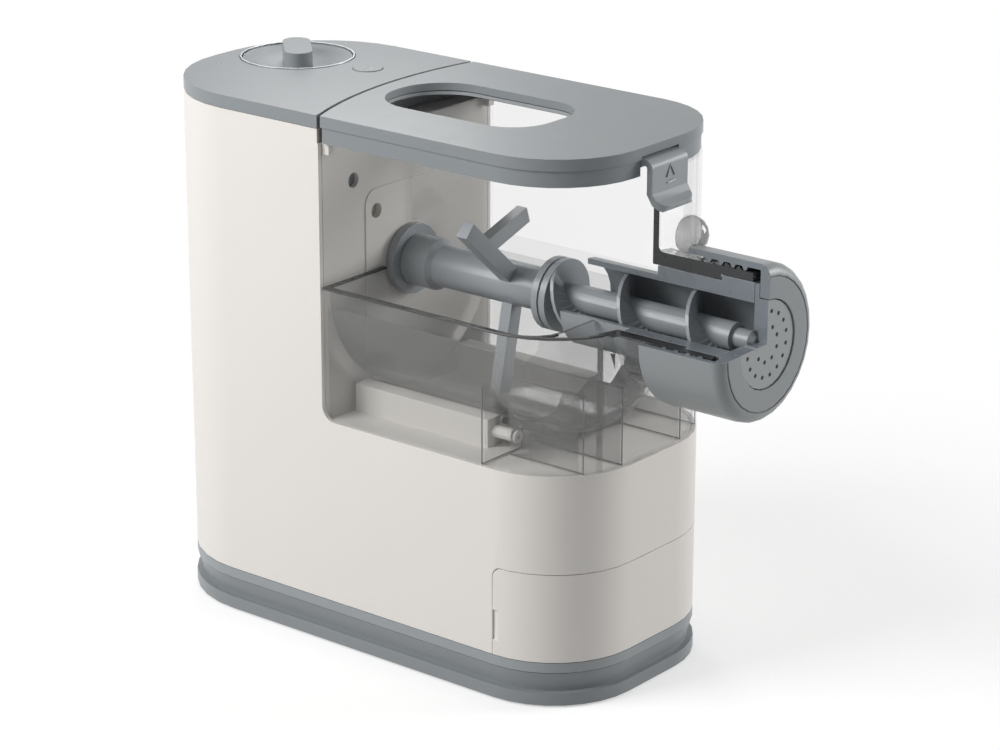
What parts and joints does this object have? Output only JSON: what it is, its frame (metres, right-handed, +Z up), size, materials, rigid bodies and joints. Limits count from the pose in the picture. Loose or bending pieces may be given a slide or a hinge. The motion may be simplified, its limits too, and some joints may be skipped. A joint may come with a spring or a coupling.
{
  "type": "electric pasta maker",
  "caption": "Electric pasta maker shown cut open: tower body with control knob, clear mixing chamber under a lid, geared drive line, extrusion outlet with ring nut, drawer.",
  "frame": {"origin": "on the standing plane, at the middle of the whole length and width", "axes": "+X towards the outlet, +Y away from the cut side, +Z up"},
  "size_m": [0.352, 0.136, 0.287],
  "materials": {
    "white_plastic": "satin moulded plastic, warm light grey-white",
    "grey_plastic": "satin moulded plastic, mid grey",
    "pale_grey_plastic": "satin moulded plastic, light grey",
    "silver_plastic": "silver paint on plastic",
    "clear_plastic": "clear moulded plastic, slightly smoky",
    "dark_rubber": "dull dark rubber and black plastic",
    "steel": "turned and pressed steel",
    "brass": "sintered bronze bushes",
    "board_green": "printed circuit board",
    "gear_plastic": "natural moulded gear plastic"
  },
  "bodies": {
    "machine": {"body_shell": "white_plastic", "deck": "white_plastic", "tower_front": "white_plastic", "locating_peg_1": "white_plastic", "locating_peg_2": "white_plastic", "base_tray": "grey_plastic", "chassis_floor": "grey_plastic", "extrusion_barrel": "grey_plastic", "rear_cap": "pale_grey_plastic", "dial_ring": "silver_plastic", "mixing_chamber": "clear_plastic", "front_panel": "clear_plastic", "indicator_lens": "clear_plastic", "cradle_pad": "dark_rubber", "shaft_seal": "dark_rubber", "safety_switch": "dark_rubber", "cord_gland": "dark_rubber", "program_switch": "dark_rubber", "start_switch": "dark_rubber", "foot_1": "dark_rubber", "foot_2": "dark_rubber", "foot_3": "dark_rubber", "foot_4": "dark_rubber", "motor_body": "steel", "idler_pin": "steel", "base_screw_1": "steel", "base_screw_2": "steel", "base_screw_3": "steel", "base_screw_4": "steel", "motor_screw_1": "steel", "motor_screw_2": "steel", "rear_bush": "brass", "front_bush": "brass", "control_board": "board_green", "gearbox_housing": "gear_plastic", "gearbox_cover": "gear_plastic"},
    "output": {"output_shaft": "steel", "output_wheel": "gear_plastic", "drive_coupling": "grey_plastic", "mixing_paddle": "grey_plastic", "extrusion_auger": "grey_plastic"},
    "idler": {"idler_gear": "gear_plastic"},
    "rotor": {"motor_shaft": "steel", "cooling_fan": "gear_plastic"},
    "knob": {"dial_dish": "silver_plastic", "knob_handle": "pale_grey_plastic"},
    "button": {"start_button": "pale_grey_plastic"},
    "lid": {"lid": "pale_grey_plastic", "lid_insert": "grey_plastic"},
    "latch": {"latch": "pale_grey_plastic", "latch_pin": "steel"},
    "drawer": {"drawer_front": "white_plastic", "drawer_tray": "white_plastic", "spare_disc_1": "grey_plastic", "spare_disc_2": "grey_plastic"},
    "disc": {"shaping_disc": "pale_grey_plastic"},
    "nut": {"ring_nut": "grey_plastic"}
  },
  "joints": [
    {"name": "output_spin", "type": "hinge", "parent": "machine", "child": "output", "pos_m": [0.0345, 0, 0.193], "axis": [1, 0, 0], "continuous": true},
    {"name": "idler_spin", "type": "hinge", "parent": "machine", "child": "idler", "pos_m": [-0.0755, 0, 0.148], "axis": [1, 0, 0], "continuous": true},
    {"name": "rotor_spin", "type": "hinge", "parent": "machine", "child": "rotor", "pos_m": [-0.1155, 0, 0.1105], "axis": [1, 0, 0], "continuous": true},
    {"name": "knob_turn", "type": "hinge", "parent": "machine", "child": "knob", "pos_m": [-0.1411, 0.0189, 0.28], "axis": [0, 0, 1], "range_deg": [-150, 150]},
    {"name": "button_press", "type": "slide", "parent": "machine", "child": "button", "axis": [0, 0, -1], "range_m": [0, 0.001], "stiffness_N_per_m": 900},
    {"name": "lid_lift", "type": "hinge", "parent": "machine", "child": "lid", "pos_m": [-0.0647, 0, 0.281], "axis": [0, -1, 0], "range_deg": [0, 75]},
    {"name": "latch_swing", "type": "hinge", "parent": "lid", "child": "latch", "pos_m": [0.1077, 0, 0.2734], "axis": [0, -1, 0], "range_deg": [0, 15]},
    {"name": "drawer_pull", "type": "slide", "parent": "machine", "child": "drawer", "axis": [1, 0, 0], "range_m": [0, 0.075]},
    {"name": "disc_travel", "type": "slide", "parent": "machine", "child": "disc", "axis": [1, 0, 0], "range_m": [0, 0.02327]},
    {"name": "nut_turn", "type": "hinge", "parent": "disc", "child": "nut", "pos_m": [0.1545, 0, 0.193], "axis": [1, 0, 0], "range_deg": [0, 300]}
  ],
  "couplings": [
    {"joint": "idler_spin", "follows": "output_spin", "ratio": -4},
    {"joint": "rotor_spin", "follows": "output_spin", "ratio": 16},
    {"joint": "disc_travel", "follows": "nut_turn", "m_per_rad": 0.0044436}
  ]
}
